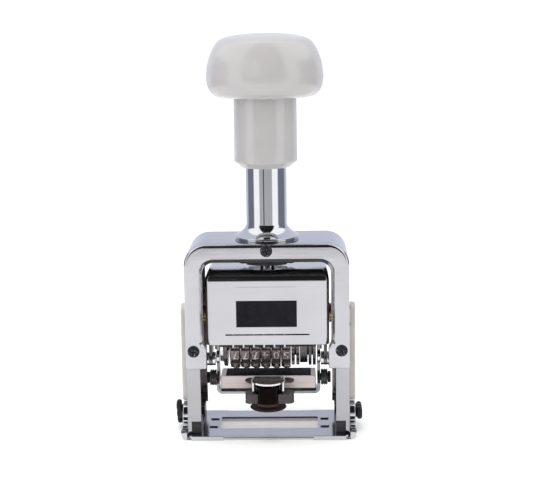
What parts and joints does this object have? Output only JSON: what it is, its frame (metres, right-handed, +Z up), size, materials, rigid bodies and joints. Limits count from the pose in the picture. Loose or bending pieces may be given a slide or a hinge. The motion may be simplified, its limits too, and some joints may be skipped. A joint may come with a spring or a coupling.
{
  "type": "automatic numbering machine",
  "caption": "Hand numbering stamp: white mushroom knob on a sprung plunger, chromed U frame, case of figure wheels, swinging ink pad and window base.",
  "frame": {"origin": "centre of the base's underside, below the plunger", "axes": "+X to the right as the figures face the user, +Y to the back, +Z up along the plunger"},
  "size_m": [0.0758, 0.046, 0.1601],
  "materials": {
    "chrome": "bright chrome plate",
    "bright_steel": "turned and polished",
    "grey_steel": "stamped, dull nickel",
    "spring_steel": "bright drawn wire and strip",
    "black_oxide": "black oxide, slightly oily",
    "cream_plastic": "moulded, satin",
    "cream_enamel": "cream enamel",
    "black_rubber": "matt",
    "dark_plastic": "fine-grained",
    "knob_plastic": "polished, warm off-white",
    "label": "bare film label",
    "brass": "turned",
    "type_metal": "inked, bronze-brown",
    "inked_felt": "felt soaked with black ink",
    "bronze": "dark bronze plate"
  },
  "bodies": {
    "frame": {"base_foot": "chrome", "base_plate": "chrome", "leg_blocks": "black_rubber", "main_frame": "chrome", "front_yoke": "chrome", "yoke_screws": "black_oxide", "left_slot_cover": "cream_plastic", "right_slot_cover": "cream_plastic", "slot_cover_screws": "black_oxide", "tube_ring": "chrome", "guide_tube": "chrome", "tube_nut": "bright_steel", "main_spring": "spring_steel"},
    "left_thumb": {"left_thumb_screw": "black_oxide"},
    "right_thumb": {"right_thumb_screw": "black_oxide"},
    "carriage": {"knob_cap": "knob_plastic", "knob_sleeve": "knob_plastic", "knob_nut": "bright_steel", "plunger_rod": "bright_steel", "carriage_block": "grey_steel", "case_cover": "chrome", "rear_cover": "chrome", "case_label": "label", "left_side_plate": "grey_steel", "right_side_plate": "grey_steel", "side_plate_screws": "bright_steel", "guide_studs": "bright_steel", "guide_bushes": "brass", "wheel_shaft": "bright_steel", "shaft_collars": "grey_steel", "left_end_disc": "grey_steel", "detent_rod": "bright_steel", "detent_springs": "spring_steel", "pointer_comb": "spring_steel", "tie_rods": "bright_steel"},
    "wheel_1": {"number_wheel_1": "type_metal"},
    "wheel_2": {"number_wheel_2": "type_metal"},
    "wheel_3": {"number_wheel_3": "type_metal"},
    "wheel_4": {"number_wheel_4": "type_metal"},
    "wheel_5": {"number_wheel_5": "type_metal"},
    "wheel_6": {"number_wheel_6": "type_metal"},
    "repeat_set": {"repeat_ratchet": "grey_steel", "repeat_cam": "black_oxide"},
    "rocker": {"pawl_rocker": "grey_steel", "pawl_comb": "grey_steel"},
    "pad_arm": {"pad_bracket": "grey_steel", "pad_rollers": "black_oxide", "roller_studs": "black_oxide"},
    "pad_drawer": {"pad_tray": "cream_enamel", "ink_pad": "inked_felt", "pad_knob": "bronze", "knob_collar": "dark_plastic", "tray_clip": "bright_steel"}
  },
  "joints": [
    {"name": "plunge", "type": "slide", "parent": "frame", "child": "carriage", "axis": [0, 0, 1], "range_m": [-0.025, 0], "stiffness_N_per_m": 350, "springref_m": 0.02, "deforming": ["main_spring"]},
    {"name": "left_thumb_turn", "type": "hinge", "parent": "frame", "child": "left_thumb", "pos_m": [-0.0365, 0, 0.007], "axis": [1, 0, 0], "continuous": true},
    {"name": "right_thumb_turn", "type": "hinge", "parent": "frame", "child": "right_thumb", "pos_m": [0.0365, 0, 0.007], "axis": [1, 0, 0], "continuous": true},
    {"name": "wheel_1_turn", "type": "hinge", "parent": "carriage", "child": "wheel_1", "pos_m": [-0.0133, 0, 0.0367], "axis": [1, 0, 0], "continuous": true},
    {"name": "wheel_2_turn", "type": "hinge", "parent": "carriage", "child": "wheel_2", "pos_m": [-0.0092, 0, 0.0367], "axis": [1, 0, 0], "continuous": true},
    {"name": "wheel_3_turn", "type": "hinge", "parent": "carriage", "child": "wheel_3", "pos_m": [-0.0051, 0, 0.0367], "axis": [1, 0, 0], "continuous": true},
    {"name": "wheel_4_turn", "type": "hinge", "parent": "carriage", "child": "wheel_4", "pos_m": [-0.001, 0, 0.0367], "axis": [1, 0, 0], "continuous": true},
    {"name": "wheel_5_turn", "type": "hinge", "parent": "carriage", "child": "wheel_5", "pos_m": [0.0031, 0, 0.0367], "axis": [1, 0, 0], "continuous": true},
    {"name": "wheel_6_turn", "type": "hinge", "parent": "carriage", "child": "wheel_6", "pos_m": [0.0072, 0, 0.0367], "axis": [1, 0, 0], "continuous": true},
    {"name": "repeat_turn", "type": "hinge", "parent": "carriage", "child": "repeat_set", "pos_m": [0.014, 0, 0.0367], "axis": [1, 0, 0], "continuous": true},
    {"name": "rocker_swing", "type": "hinge", "parent": "carriage", "child": "rocker", "pos_m": [0, 0.0074, 0.0503], "axis": [1, 0, 0], "range_deg": [-8, 0]},
    {"name": "pad_swing", "type": "hinge", "parent": "carriage", "child": "pad_arm", "pos_m": [0, 0, 0.0367], "axis": [1, 0, 0], "range_deg": [-75, 0]},
    {"name": "pad_slide", "type": "slide", "parent": "pad_arm", "child": "pad_drawer", "axis": [0, -1, 0], "range_m": [0, 0.03]}
  ],
  "couplings": [
    {"joint": "rocker_swing", "follows": "plunge", "rad_per_m": 5.5795},
    {"joint": "pad_swing", "follows": "plunge", "rad_per_m": 52.334}
  ]
}
